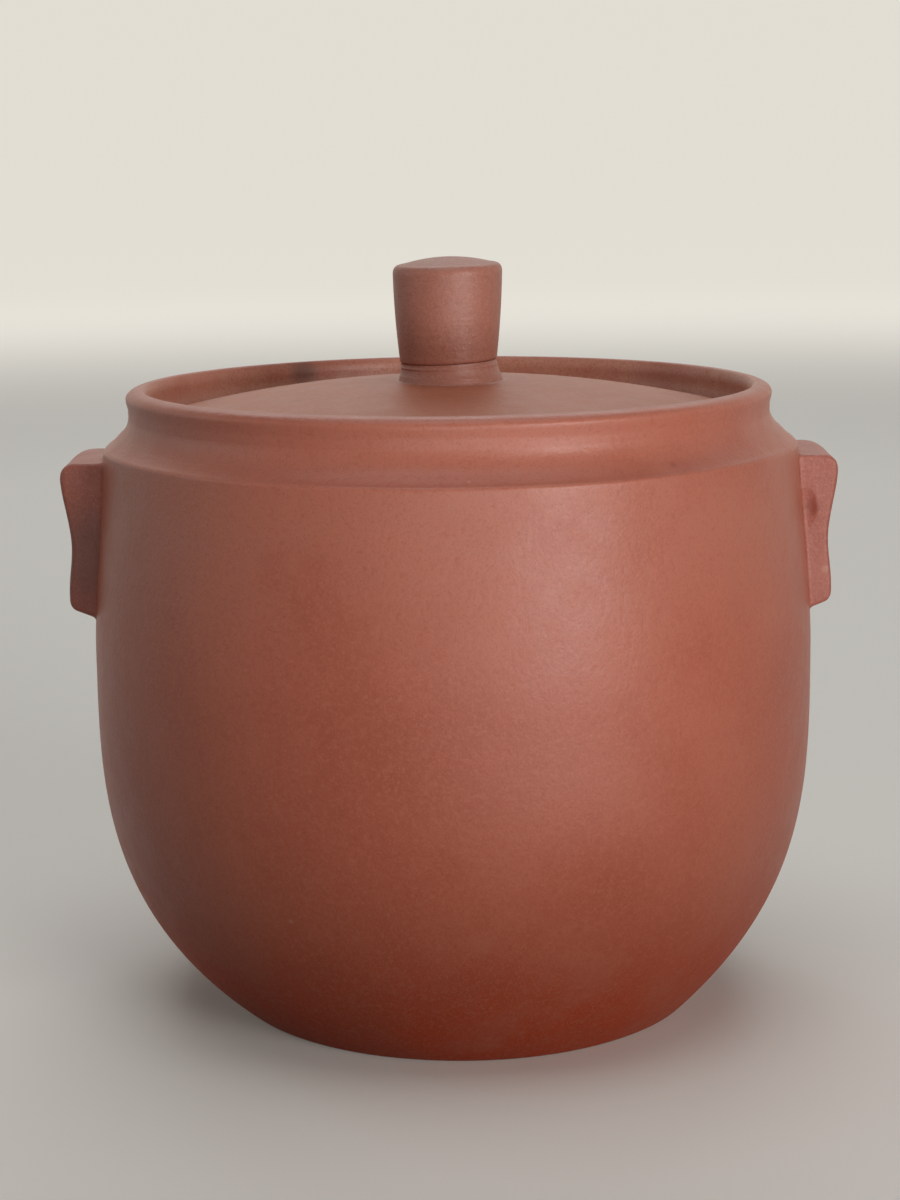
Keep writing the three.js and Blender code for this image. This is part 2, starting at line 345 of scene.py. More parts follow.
def jar_lift(x, y, z):
    """How far hand work raises a point of the jar: the lip is tilted, and the crease sags by the lugs."""
    tilt = -y * math.tan(math.radians(LIP_TILT)) * share_above(z, SHOULDER_TOP, LIP_UNDER - SHOULDER_TOP)
    nearness = max(0.0, 1 - abs(z - CREASE_HEIGHT) / SHOULDER_RISE)
    turn = np.degrees(np.arctan2(np.abs(y), np.abs(x)))
    return tilt - CREASE_SAG * nearness * np.exp(-(turn / CREASE_SAG_SPREAD) ** 2)


def knob_lift(x, y, z):
    """How far a point of the knob or its skirt is raised, because both were set on a little askew."""
    if z < SKIRT_TOP:
        tilt = KNOB_FOOT_TILT * share_above(z, SKIRT_FOOT_HEIGHT, SKIRT_HEIGHT)
    else:
        tilt = KNOB_FOOT_TILT + (KNOB_TOP_TILT - KNOB_FOOT_TILT) * share_above(z, SKIRT_TOP, KNOB_HEIGHT)
    return x * math.tan(math.radians(tilt))


def skirt_centre(z):
    """The skirt's middle at a height: its foot stands to the right, and its top is under the knob."""
    up = share_above(z, SKIRT_FOOT_HEIGHT, SKIRT_HEIGHT)
    return SKIRT_FOOT_SHIFT + (KNOB_SHIFT - SKIRT_FOOT_SHIFT) * up, 0.0


def knob_centre(z):
    """The knob's middle, the same at every height."""
    return KNOB_SHIFT, 0.0


# Meshes

def new_piece(name, points, faces, material, body, replaced):
    """A smooth mesh piece from points in millimetres, on its body and with its finish."""
    mesh = bpy.data.meshes.new(name)
    mesh.from_pydata([tuple(p) for p in np.asarray(points, float) * MM], [], faces)
    mesh.materials.append(material)
    mesh.polygons.foreach_set("use_smooth", [True] * len(mesh.polygons))
    mesh.set_sharp_from_angle(angle=math.radians(SHARP_ANGLE))
    mesh.update()
    piece = bpy.data.objects.new(name, mesh)
    bpy.context.scene.collection.objects.link(piece)
    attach(piece, body)
    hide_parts(*replaced)


def turned(outline, sides, closed, unevenness, centre=lambda z: (0.0, 0.0), lift=None):
    """Points and faces of an outline turned about Z.

    A closed outline makes a ring, and an open one starts or ends on the axis.
    """
    angles = np.arange(sides) * 2 * math.pi / sides
    points, rings = [], []
    for radius, height in outline:
        if radius < TINY:
            rings.append([len(points)])
            points.append((*centre(height), height))
            continue
        x, y = radius * np.cos(angles), radius * np.sin(angles)
        grown = 1 + wobble(x, y, height, unevenness) / max(radius, CALM_RADIUS)
        dx, dy = centre(height)
        z = np.full(sides, height, float)
        if lift is not None:
            z += lift(x, y, height)
        rings.append(list(range(len(points), len(points) + sides)))
        points.extend(zip(x * grown + dx, y * grown + dy, z))
    pairs = list(zip(rings, rings[1:]))
    if closed:
        pairs.append((rings[-1], rings[0]))
    faces = [face for low, high in pairs for face in faces_between(low, high, sides)]
    return points, faces


def faces_between(low, high, sides):
    """Faces between two rings of points. A ring of one point is a tip on the axis."""
    if len(low) == 1 and len(high) == 1:
        return []
    faces = []
    for side in range(sides):
        after = (side + 1) % sides
        if len(low) == 1:
            faces.append((low[0], high[after], high[side]))
        elif len(high) == 1:
            faces.append((low[side], low[after], high[0]))
        else:
            faces.append((low[side], low[after], high[after], high[side]))
    return faces


# Distances, for pieces that flow into the wall

def round_max(a, b, radius):
    """The larger of two distances, with the corner between them rounded."""
    outside = np.hypot(np.maximum(radius + a, 0), np.maximum(radius + b, 0))
    return np.minimum(-radius, np.maximum(a, b)) + outside


def smooth_min(a, b, reach):
    """The smaller of two distances, with a fillet where they meet."""
    blend = np.maximum(reach - np.abs(a - b), 0) / reach
    return np.minimum(a, b) - blend * blend * reach / 4


def oval_distance(parts, sizes):
    """Distance from an oval about zero, from the parts of a place along its axes and its half sizes."""
    near = np.sqrt(sum((part / size) ** 2 for part, size in zip(parts, sizes)))
    steep = np.sqrt(sum((part / size ** 2) ** 2 for part, size in zip(parts, sizes)))
    return near * (near - 1) / np.maximum(steep, TINY)


def wall_distance(side, x, y, z):
    """Distance out from the wall's outside, for a lug that is drawn on +X and belongs on either side."""
    radii, heights = OUTSIDE
    slopes = np.gradient(radii, heights)
    reach = np.interp(z, heights, radii) + wobble(x * side, y, z, BODY_UNEVENNESS)
    slope = np.interp(z, heights, slopes)
    return (np.hypot(x, y) - reach) / np.sqrt(1 + slope * slope)


def lug_reach(z):
    """How far out the lug's edge stands at a height, from head through waist to foot."""
    stops = (
        (LUG_TOP - LUG_FOOT_DROP, LUG_FOOT_STAND_OFF),
        (LUG_TOP - LUG_WAIST_DROP, LUG_WAIST_STAND_OFF),
        (LUG_TOP - LUG_HEAD_DROP, LUG_HEAD_STAND_OFF),
    )
    reach = np.full_like(z, LUG_FOOT_STAND_OFF)
    for (low, low_off), (high, high_off) in zip(stops, stops[1:]):
        share = np.clip((z - low) / (high - low), 0, 1)
        reach = np.where(z > low, low_off + (high_off - low_off) * eased(share), reach)
    return LUG_SEAT_RADIUS + reach


def lug_plan_distance(x, y, z):
    """Distance from the lug as seen from above: a small corner in front and a wide one at the back."""
    reach = lug_reach(z)
    half = LUG_WIDTH / 2
    out = np.maximum(x - (reach - LUG_BACK_INSET), 0)
    back = np.maximum(y - (half - LUG_BACK_ROUNDING), 0)
    corner = oval_distance((out, back), (LUG_BACK_INSET, LUG_BACK_ROUNDING))
    inside = np.maximum(x - reach, y - half)
    rounded = np.where((out > 0) & (back > 0), corner, inside)
    return round_max(rounded, -y - half, LUG_FRONT_ROUNDING)


def lug_distance_on(side, x, y, z):
    """Distance from the lug and the slip that joins it to the wall. The right lug has a thumb dent."""
    wall = wall_distance(side, x, y, z)
    x = x - (LUG_RIGHT_FURTHER_OUT if side > 0 else LUG_LEFT_FURTHER_OUT)
    top = z - LUG_TOP
    under = LUG_BOTTOM + LUG_FOOT_SLOPE * (x - LUG_SEAT_RADIUS)
    bottom = (under - z) / math.hypot(1, LUG_FOOT_SLOPE)
    front = round_max(x - lug_reach(z), top, LUG_HEAD_ROUNDING)
    front = round_max(front, bottom, LUG_FOOT_ROUNDING)
    lug = round_max(front, lug_plan_distance(x, y, z), LUG_EDGE_SOFTENING)
    if side > 0:
        from_dent = [value - middle for value, middle in zip((x, y, z), DENT_PLACE)]
        dent = oval_distance(from_dent, DENT_SIZE)
        lug = round_max(lug, -dent, LUG_EDGE_SOFTENING / 2)
    waves = np.sin(x * LUG_WAVES_OUT + y * LUG_WAVES_ACROSS)
    waves *= np.sin(z * LUG_WAVES_UP + LUG_WAVES_START + y * LUG_WAVES_SKEW)
    lug += LUG_UNEVENNESS * waves
    joined = smooth_min(lug, wall + SLIP_SINK, SLIP_REACH)
    shell = np.maximum(joined, -(wall + SLIP_DEPTH))
    reach_y = np.abs(y) - (LUG_WIDTH / 2 + SLIP_DEPTH)
    reach_z = np.maximum(z - (LUG_TOP + SLIP_DEPTH), (LUG_BOTTOM - SLIP_DEPTH) - z)
    return np.maximum(shell, np.maximum(reach_y, reach_z))


def moved_onto(distance, points, starts, cell):
    """Points moved onto the surface where a distance is zero, each held near its own cell."""
    rounds = 6
    least_slope = 0.2
    step = cell * 0.05
    slack = cell * 0.3
    for _ in range(rounds):
        here = distance(*points.T)
        slope = np.stack([
            (distance(*(points + step * axis).T) - distance(*(points - step * axis).T)) / (2 * step)
            for axis in np.eye(3)
        ], -1)
        move = slope * (here / np.maximum((slope ** 2).sum(1), least_slope))[:, None]
        points = np.clip(points - move, starts - slack, starts + cell + slack)
    return points


def surface_of(distance, low, high, cell):
    """Points and faces of the surface where a distance is zero, with one point in each cell it crosses."""
    axes = [np.arange(a, b + cell, cell) for a, b in zip(low, high)]
    grid = np.stack(np.meshgrid(*axes, indexing="ij"), -1)
    inside = distance(grid[..., 0], grid[..., 1], grid[..., 2]) < 0
    corners = [
        inside[i:inside.shape[0] - 1 + i, j:inside.shape[1] - 1 + j, k:inside.shape[2] - 1 + k]
        for i in (0, 1) for j in (0, 1) for k in (0, 1)
    ]
    count = sum(c.astype(np.int8) for c in corners)
    crossed = (count > 0) & (count < len(corners))
    number = np.full(crossed.shape, -1, int)
    number[crossed] = np.arange(crossed.sum())
    starts = grid[:-1, :-1, :-1][crossed]
    points = moved_onto(distance, starts + cell / 2, starts, cell)
    faces = [face for axis in range(3) for face in faces_across(axis, inside, number)]
    return points, faces


def faces_across(axis, inside, number):
    """Faces where the grid's lines along one axis go through the surface, from each cell's point number."""
    u, v = (axis + 1) % 3, (axis + 2) % 3
    first = np.take(inside, range(inside.shape[axis] - 1), axis)
    second = np.take(inside, range(1, inside.shape[axis]), axis)
    faces = []
    for flipped, hits in ((False, first & ~second), (True, ~first & second)):
        place = np.argwhere(hits)
        place = place[(place[:, u] > 0) & (place[:, v] > 0)]
        place = place[(place[:, u] < inside.shape[u] - 1) & (place[:, v] < inside.shape[v] - 1)]
        around = []
        for du, dv in ((-1, -1), (0, -1), (0, 0), (-1, 0)):
            cells = place.copy()
            cells[:, u] += du
            cells[:, v] += dv
            around.append(number[tuple(cells.T)])
        quads = np.stack(around[::-1] if flipped else around, -1)
        faces.extend(map(tuple, quads.tolist()))
    return faces


# Jar

def jar_piece(name, outline, material, node, closed=True):
    """A turned element of the jar."""
    points, faces = turned(outline, SIDES, closed, BODY_UNEVENNESS, jar_centre, jar_lift)
    new_piece(name, points, faces, material, "jar", [node])


def base_outline():
    """The floor disc: its pressed-in underside, the ring it stands on, its side and its top."""
    ring_inner = FOOT_RADIUS - FOOT_RING_WIDTH
    slope_middle = ring_inner - FOOT_RECESS_SLOPE / 2
    recess_edge = (ring_inner - FOOT_RECESS_SLOPE, FOOT_RECESS_DEPTH)
    side = body_stretch(OUTSIDE, FOOT_EDGE_ROUNDING, FLOOR_THICKNESS, FOOT_SIDE_STEPS)
    foot_edge = (FOOT_RADIUS - FOOT_EDGE_ROUNDING, 0)
    return [
        (0, FOOT_RECESS_DEPTH),
        *straight((0, FOOT_RECESS_DEPTH), recess_edge, FLAT_STEPS),
        *bezier(
            recess_edge, (slope_middle, FOOT_RECESS_DEPTH), (slope_middle, 0), (ring_inner, 0),
            FOOT_RECESS_STEPS,
        )[1:],
        *straight((ring_inner, 0), foot_edge, FLAT_STEPS),
        *bend(foot_edge, (FOOT_RADIUS, 0), side[0], CORNER_STEPS)[1:],
        *side[1:],
        *straight(side[-1], (0, FLOOR_THICKNESS), FLAT_STEPS),
    ]


def wall_outline():
    """The wall, up its outside and down its inside."""
    outside = body_stretch(OUTSIDE, FLOOR_THICKNESS, SHOULDER_UNDER, WALL_OUTSIDE_STEPS)
    inside = body_stretch(INSIDE, FLOOR_THICKNESS, SHOULDER_UNDER, WALL_INSIDE_STEPS)
    return [*outside, *inside[::-1]]


def shoulder_hollow(crease_high, neck_foot, upper_slope, lower_slope):
    """Where the slopes of the shoulder's upper and lower ends meet, which bends the line between them."""
    across, drop = crease_high[0] - neck_foot[0], neck_foot[1] - crease_high[1]
    reach = (drop - across * math.tan(lower_slope)) / (
        math.sin(upper_slope) - math.cos(upper_slope) * math.tan(lower_slope)
    )
    return neck_foot[0] + reach * math.cos(upper_slope), neck_foot[1] - reach * math.sin(upper_slope)


def shoulder_outline():
    """The shoulder's slope is a little hollow, so that it flows on from the neck's foot."""
    crease_low = body_point(OUTSIDE, CREASE_HEIGHT - CREASE_ROUNDING)
    upper_slope = math.radians(NECK_FOOT_SLOPE)
    lower_slope = 2 * math.atan2(SHOULDER_RISE, SHOULDER_SHELF) - upper_slope
    crease_high = (
        CREASE_RADIUS - CREASE_ROUNDING * math.cos(lower_slope),
        CREASE_HEIGHT + CREASE_ROUNDING * math.sin(lower_slope),
    )
    neck_foot = (NECK_FOOT_RADIUS, SHOULDER_TOP)
    hollow = shoulder_hollow(crease_high, neck_foot, upper_slope, lower_slope)
    inner_low = (OPENING_RADIUS, SHOULDER_UNDER)
    return [
        inner_low,
        *straight(inner_low, (crease_low[0], SHOULDER_UNDER), FLAT_STEPS)[:-1],
        *body_stretch(OUTSIDE, SHOULDER_UNDER, crease_low[1], SHOULDER_SIDE_STEPS),
        *bend(crease_low, (CREASE_RADIUS, CREASE_HEIGHT), crease_high, CORNER_STEPS)[1:],
        *bend(crease_high, hollow, neck_foot, SHOULDER_SLOPE_STEPS)[1:],
        *straight(neck_foot, (OPENING_RADIUS, SHOULDER_TOP), FLAT_STEPS),
    ]


def lip_swell(from_height, to_height):
    """Points of the soft swell between the neck and the lip's widest line, between two heights."""
    start, end = LIP_UNDER - LIP_SWELL_REACH, LIP_TOP - LIP_OUTER_DROP
    points = []
    for height in np.linspace(from_height, to_height, CORNER_STEPS + 1):
        share = (height - start) / (end - start)
        points.append((NECK_RADIUS + LIP_BULGE * eased(share), float(height)))
    return points


def neck_outline():
    """The neck: its flared foot, its throat, the start of the swell, and its inside."""
    slope = math.radians(NECK_FOOT_SLOPE)
    throat = (NECK_RADIUS, SHOULDER_TOP + NECK_FLARE_HEIGHT)
    foot_pull = (
        NECK_FOOT_RADIUS - NECK_FOOT_REACH * math.cos(slope),
        SHOULDER_TOP + NECK_FOOT_REACH * math.sin(slope),
    )
    throat_pull = (NECK_RADIUS, throat[1] - NECK_THROAT_REACH)
    inner_high = (MOUTH_RADIUS + NECK_INNER_FLARE, LIP_UNDER)
    inner_low = (MOUTH_RADIUS, SHOULDER_TOP)
    inner_middle = (LIP_UNDER + SHOULDER_TOP) / 2
    return [
        *bezier((NECK_FOOT_RADIUS, SHOULDER_TOP), foot_pull, throat_pull, throat, NECK_FLARE_STEPS),
        *lip_swell(LIP_UNDER - LIP_SWELL_REACH, LIP_UNDER),
        *straight((NECK_RADIUS, LIP_UNDER), inner_high, FLAT_STEPS),
        *bezier(
            inner_high, (inner_high[0], inner_middle), (MOUTH_RADIUS, inner_middle), inner_low,
            NECK_INSIDE_STEPS,
        )[1:],
    ]


def quarter_oval(centre, width, height, steps):
    """Points of a quarter oval, from its outermost point up and in to its top."""
    return [
        (centre[0] + width * math.cos(turn), centre[1] + height * math.sin(turn))
        for turn in np.linspace(0, math.pi / 2, steps + 1)
    ]


def lip_outline():
    """The lip: the rest of the swell, its rounded top and its inside."""
    widest = NECK_RADIUS + LIP_BULGE
    crown_radius = widest - LIP_OUTER_INSET
    inner_radius = MOUTH_RADIUS + NECK_INNER_FLARE
    outer_middle = (crown_radius, LIP_TOP - LIP_OUTER_DROP)
    outer = quarter_oval(outer_middle, LIP_OUTER_INSET, LIP_OUTER_DROP, LIP_OUTSIDE_STEPS)
    inner = quarter_oval((0, LIP_UNDER), crown_radius - inner_radius, LIP_HEIGHT, LIP_INSIDE_STEPS)
    inner = [(crown_radius - radius, height) for radius, height in inner[::-1]]
    swell = lip_swell(LIP_UNDER, outer[0][1])
    return [
        (inner_radius, LIP_UNDER),
        *straight((inner_radius, LIP_UNDER), swell[0], FLAT_STEPS),
        *swell[1:],
        *outer[1:],
        *inner[1:-1],
    ]


def lug_pieces(material):
    """Both lugs, each with the slip that joins it to the wall."""
    room = SLIP_DEPTH + LUG_BOX_MARGIN
    reach = LUG_HEAD_STAND_OFF + LUG_LEFT_FURTHER_OUT + 2 * LUG_BOX_MARGIN
    low = (LUG_SEAT_RADIUS - LUG_BOX_DEPTH, -LUG_WIDTH / 2 - room, LUG_BOTTOM - room)
    high = (LUG_SEAT_RADIUS + reach, LUG_WIDTH / 2 + room, LUG_TOP + room)
    for side, node in ((1, "lug_right"), (-1, "lug_left")):
        def distance(x, y, z, side=side):
            return lug_distance_on(side, x, y, z)
        points, faces = surface_of(distance, low, high, LUG_CELL)
        if side < 0:
            points = points * (-1, 1, 1)  # the left lug is drawn on +X and mirrored
            faces = [face[::-1] for face in faces]
        new_piece(node + "_clay", points, faces, material, "jar", [node])


# Lid

def lid_piece(name, outline, material, slot, node, closed=True, sides=SIDES, **shape):
    """A turned element of the lid. shape is what hand work did to it, as turned takes it."""
    points, faces = turned(outline, sides, closed, LID_UNEVENNESS, **shape)
    new_piece(name, points, faces, material, "lid", [node])


def lid_outline():
    """The lid's plate: its hollow, its flat underside, its edge and its dome."""
    hollow_radius = DOME_RADIUS - LID_PLATE_THICKNESS
    hollow_edge = FLANGE_INNER_RADIUS - LID_PLATE_THICKNESS / 2
    hollow = [
        (r, dome_height(r, hollow_radius)) for r in np.linspace(0, hollow_edge, LID_HOLLOW_STEPS + 1)
    ]
    dome_edge = LID_RADIUS - LID_EDGE_ROUNDING
    dome = [(r, dome_height(r)) for r in np.linspace(dome_edge, 0, LID_DOME_STEPS + 1)]
    edge_low = (LID_RADIUS, LID_EDGE_TOP - LID_EDGE_ROUNDING)
    return [
        *hollow,
        *straight(hollow[-1], (FLANGE_INNER_RADIUS, SHOULDER_TOP), FLAT_STEPS),
        *straight((FLANGE_INNER_RADIUS, SHOULDER_TOP), (LID_RADIUS, SHOULDER_TOP), FLAT_STEPS),
        *straight((LID_RADIUS, SHOULDER_TOP), edge_low, FLAT_STEPS),
        *bend(edge_low, (LID_RADIUS, dome[0][1]), dome[0], FILLET_STEPS)[1:],
        *dome[1:],
    ]


def flange_outline():
    """The ring under the lid, with rounded lower edges."""
    bottom = SHOULDER_TOP - FLANGE_DEPTH
    inner_low = (FLANGE_INNER_RADIUS + FLANGE_ROUNDING, bottom)
    outer_low = (FLANGE_RADIUS - FLANGE_ROUNDING, bottom)
    outer_high = (FLANGE_RADIUS, bottom + FLANGE_ROUNDING)
    inner_high = (FLANGE_INNER_RADIUS, bottom + FLANGE_ROUNDING)
    return [
        inner_low,
        *straight(inner_low, outer_low, FLAT_STEPS),
        *bend(outer_low, (FLANGE_RADIUS, bottom), outer_high, CORNER_STEPS)[1:],
        *straight(outer_high, (FLANGE_RADIUS, SHOULDER_TOP), FLANGE_SIDE_STEPS),
        *straight((FLANGE_RADIUS, SHOULDER_TOP), (FLANGE_INNER_RADIUS, SHOULDER_TOP), FLAT_STEPS),
        *straight((FLANGE_INNER_RADIUS, SHOULDER_TOP), inner_high, FLANGE_SIDE_STEPS),
        *bend(inner_high, (FLANGE_INNER_RADIUS, bottom), inner_low, CORNER_STEPS)[1:-1],
    ]


def skirt_outline():
    """The skirt under the knob: a fillet at its foot, and fine ridges that a tool left round it."""
    edge_radius = SKIRT_FOOT_RADIUS + SKIRT_FILLET
    edge = (edge_radius, dome_height(edge_radius))
    toe = (SKIRT_FOOT_RADIUS, SKIRT_FOOT_HEIGHT + SKIRT_TOE_HEIGHT)
    top = (SKIRT_TOP_RADIUS, SKIRT_TOP)
    under = (0, edge[1] - SKIRT_SINK)
    bend_corner = (SKIRT_TOP_RADIUS, (toe[1] + SKIRT_TOP) / 2)
    side = []
    for radius, height in bend(toe, bend_corner, top, SKIRT_SIDE_STEPS):
        share = (height - SKIRT_FOOT_HEIGHT) / SKIRT_HEIGHT
        for middle, rise in SKIRT_RIDGES:
            radius += rise * math.exp(-((share - middle) / SKIRT_RIDGE_WIDTH) ** 2)
        side.append((radius, height))
    return [
        under,
        *straight(under, (edge_radius, under[1]), FLAT_STEPS),
        *bend(edge, (SKIRT_FOOT_RADIUS, SKIRT_FOOT_HEIGHT), toe, FILLET_STEPS),
        *side[1:],
        *straight(top, (0, SKIRT_TOP), FLAT_STEPS),
    ]


def knob_outline():
    """The knob: its foot, its slightly swollen flank, its rounded edge and its crown."""
    edge_top = KNOB_TOP - KNOB_CROWN
    foot_low = (KNOB_FOOT_RADIUS - KNOB_FOOT_ROUNDING, SKIRT_TOP)
    flank_foot = (KNOB_FOOT_RADIUS, SKIRT_TOP + KNOB_FOOT_ROUNDING)
    flank_head = (KNOB_HEAD_RADIUS, edge_top - KNOB_EDGE_ROUNDING)
    middle = (
        (KNOB_FOOT_RADIUS + KNOB_HEAD_RADIUS) / 2 + KNOB_SWELL,
        (flank_foot[1] + flank_head[1]) / 2,
    )
    crown_edge = (KNOB_HEAD_RADIUS - KNOB_EDGE_ROUNDING, edge_top)
    return [
        (0, SKIRT_TOP),
        *straight((0, SKIRT_TOP), foot_low, FLAT_STEPS),
        *bend(foot_low, (KNOB_FOOT_RADIUS, SKIRT_TOP), flank_foot, KNOB_FOOT_STEPS)[1:],
        *bend(flank_foot, middle, flank_head, KNOB_FLANK_STEPS)[1:],
        *bend(flank_head, (KNOB_HEAD_RADIUS, edge_top), crown_edge, KNOB_EDGE_STEPS)[1:],
        *bend(crown_edge, (crown_edge[0] / 2, KNOB_TOP), (0, KNOB_TOP), KNOB_CROWN_STEPS)[1:],
    ]


# Materials

# Clay's index of refraction, and the noises on it: each one's scale, detail and roughness
CLAY_IOR = 1.5
CLAY_NOISES = {
    "clouds": (0.05, 3, 0.55),
    "patches": (0.3, 3, 0.55),
    "sand": (1.3, 2, 0.6),
    "fine": (3.5, 2, 0.55),
}

# The noise of the lines that turning left, and how it is stretched along them
LINE_NOISE = (1.5, 3, 0.6)
LINE_STRETCH = (0.03, 0.03, 1)

# How the noises vary the colour, in this order: which one, from and to what value of it, how strongly,
# and whether to the pale or the dark colour
COLOUR_LAYERS = (
    ("clouds", 0.52, 0.3, 0.5, "dark"),
    ("clouds", 0.5, 0.7, 0.5, "pale"),
    ("patches", 0.45, 0.75, 0.25, "pale"),
    ("sand", 0.52, 0.68, 0.45, "pale"),
    ("sand", 0.46, 0.3, 0.28, "dark"),
    ("fine", 0.53, 0.66, 0.6, "pale"),
    ("fine", 0.46, 0.32, 0.4, "dark"),
)

# How much of the fine noise and of the patches the grain has, beside the sand
FINE_GRAIN = 0.35
PATCH_GRAIN = 0.8

# Two values of the patches, and what each adds to the roughness
PATCH_ROUGHNESS = (0.3, 0.7, -0.03, 0.03)

# Two heights on the jar's foot and belly, and the roughness added and the gloss at each
FOOT_ROUGHNESS = (30, 5, 0, 0.2)
FOOT_GLOSS = (8, 54, 0.22, 0.5)

# How far a face looks out along X where the painted side shade starts and where it is full
SIDE_SHADE_FACING = (0.35, 0.85)

# The share of a spot's radius within which it shows fully
SPOT_CORE = 0.25

# The burnished clay of the jar, and the tones that it turns to between two heights: a redder, deeper
# foot, partly the clay's own tone and partly painted shade, and a paler top that is painted sheen
JAR_FINISH = {
    "base": (0.42, 0.102, 0.056),
    "pale": (0.47, 0.135, 0.08),
    "dark": (0.36, 0.077, 0.038),
    "roughness": 0.42,
    "grain_depth": 0.045,
}
# Partly the foot's own redder clay, partly painted shade where little light reaches the lower body
FOOT_TONE_AND_SHADE = (0.47, 0.055, 0.015)
# Painted sheen: a paler tone on the upper wall, shoulder and neck, where light glances off the clay
SHOULDER_PAINTED_SHEEN = (0.44, 0.14, 0.09)
JAR_SHADE_AND_SHEEN_TONES = ((24, 3, FOOT_TONE_AND_SHADE), (48, 74, SHOULDER_PAINTED_SHEEN))

# Painted light inside the neck, a paler tone for light that bounces in between lid and neck, and how
# far out from the mouth's radius it starts and is full
INNER_NECK_PAINTED_LIGHT = (0.6, 0.29, 0.2)
INNER_LIGHT_STARTS = 1.55
INNER_LIGHT_FULL = 0.55

# Small marks and painted shade: where each spot is, its radius, its colour and how strongly it shows
WALL_MARKS = (
    ((2.8, -45.1, 20.3), 2.8, (0.5, 0.16, 0.1), 0.2),
    ((-20.3, -41.0, 22.2), 0.5, (0.5, 0.2, 0.14), 0.6),
)
NECK_MARKS_AND_SHADE = (
    ((26.8, -35.4, 77.2), 0.8, (0.22, 0.06, 0.035), 0.45),
    ((2.1, -44.9, 77.0), 0.4, (0.52, 0.24, 0.17), 0.6),
    # Painted shade: a dark patch on the inside of the neck at the back, under the lip
    ((-20.8, 33.4, 81.6), 3.2, (0.16, 0.07, 0.05), 0.7),
)
LUG_MARKS_AND_SHADOW = (
    # The thumb dent: partly its own darker clay, partly painted shade in the dent
    ((47.4, -7.6, 67.4), 1.6, (0.24, 0.045, 0.022), 0.5),
    ((49.3, -7.7, 59.2), 0.7, (0.55, 0.3, 0.22), 0.45),
    # Painted shadow: the body's shadow on the front of the left lug
    ((-48.4, -7.7, 62.0), 9.0, (0.17, 0.07, 0.056), 0.6),
)


class Shading:
    """Short calls for the shader nodes of one material."""

    def __init__(self, name):
        self.material = bpy.data.materials.new(name)
        self.material.use_nodes = True
        self.nodes = self.material.node_tree.nodes
        self.links = self.material.node_tree.links
        self.shader = self.nodes["Principled BSDF"]

    def add(self, kind, **settings):
        """A new shader node with its settings."""
        node = self.nodes.new(kind)
        for key, value in settings.items():
            setattr(node, key, value)
        return node

    def feed(self, socket, value):
        """Links a socket to another, or sets its value."""
        if isinstance(value, bpy.types.NodeSocket):
            self.links.new(value, socket)
        elif socket.type == "RGBA":
            socket.default_value = (*value, 1)
        else:
            socket.default_value = value

    def maths(self, operation, *values):
        """The outcome of a sum on sockets or numbers."""
        node = self.add("ShaderNodeMath", operation=operation)
        for socket, value in zip(node.inputs, values):
            self.feed(socket, value)
        return node.outputs[0]

    def spread(self, value, low, high, to_low=0.0, to_high=1.0):
        """A value between two limits, eased into a new range."""
        node = self.add("ShaderNodeMapRange", interpolation_type="SMOOTHSTEP")
        limits = {"Value": value, "From Min": low, "From Max": high, "To Min": to_low, "To Max": to_high}
        for key, number in limits.items():
            self.feed(node.inputs[key], number)
        return node.outputs["Result"]

    def mixed(self, share, first, second):
        """A colour between two others."""
        node = self.add("ShaderNodeMix", data_type="RGBA")
        self.feed(node.inputs["Factor"], share)
        colours = [socket for socket in node.inputs if socket.type == "RGBA"]
        self.feed(colours[0], first)
        self.feed(colours[1], second)
        return next(socket for socket in node.outputs if socket.type == "RGBA")

    def place(self, scale=(1, 1, 1)):
        """The place on the object in millimetres, times a scale."""
        node = self.add("ShaderNodeMapping")
        node.inputs["Scale"].default_value = [part / MM for part in scale]
        self.links.new(self.add("ShaderNodeTexCoord").outputs["Object"], node.inputs["Vector"])
        return node.outputs["Vector"]

    def length(self, vector):
        """How long a vector is."""
        node = self.add("ShaderNodeVectorMath", operation="LENGTH")
        self.links.new(vector, node.inputs[0])
        return node.outputs["Value"]

    def part(self, vector, axis):
        """One part of a vector: X, Y or Z."""
        node = self.add("ShaderNodeSeparateXYZ")
        self.links.new(vector, node.inputs["Vector"])
        return node.outputs[axis]

    def noise(self, place, scale, detail, roughness):
        """Noise from 0 to 1 over a place."""
        node = self.add("ShaderNodeTexNoise")
        self.links.new(place, node.inputs["Vector"])
        node.inputs["Scale"].default_value = scale
        node.inputs["Detail"].default_value = detail
        node.inputs["Roughness"].default_value = roughness
        return node.outputs["Fac"]

    def bump(self, height, distance):
        """Raises the surface's look by a height, in millimetres."""
        node = self.add("ShaderNodeBump")
        node.inputs["Distance"].default_value = distance * MM
        self.links.new(height, node.inputs["Height"])
        self.links.new(node.outputs["Normal"], self.shader.inputs["Normal"])


def with_painted_side_shade(shading, colour, tone):
    """A colour that turns to painted shade on faces that look out along X, to either side."""
    normal = shading.add("ShaderNodeNewGeometry").outputs["Normal"]
    outward = shading.maths("ABSOLUTE", shading.part(normal, "X"))
    return shading.mixed(shading.spread(outward, *SIDE_SHADE_FACING), colour, tone)


def with_painted_inner_light(shading, colour, tone):
    """A colour that turns to painted light where the neck's inside comes near to the mouth's radius."""
    radius = shading.length(shading.place((1, 1, 0)))
    share = shading.spread(radius, MOUTH_RADIUS + INNER_LIGHT_STARTS, MOUTH_RADIUS + INNER_LIGHT_FULL)
    return shading.mixed(share, colour, tone)


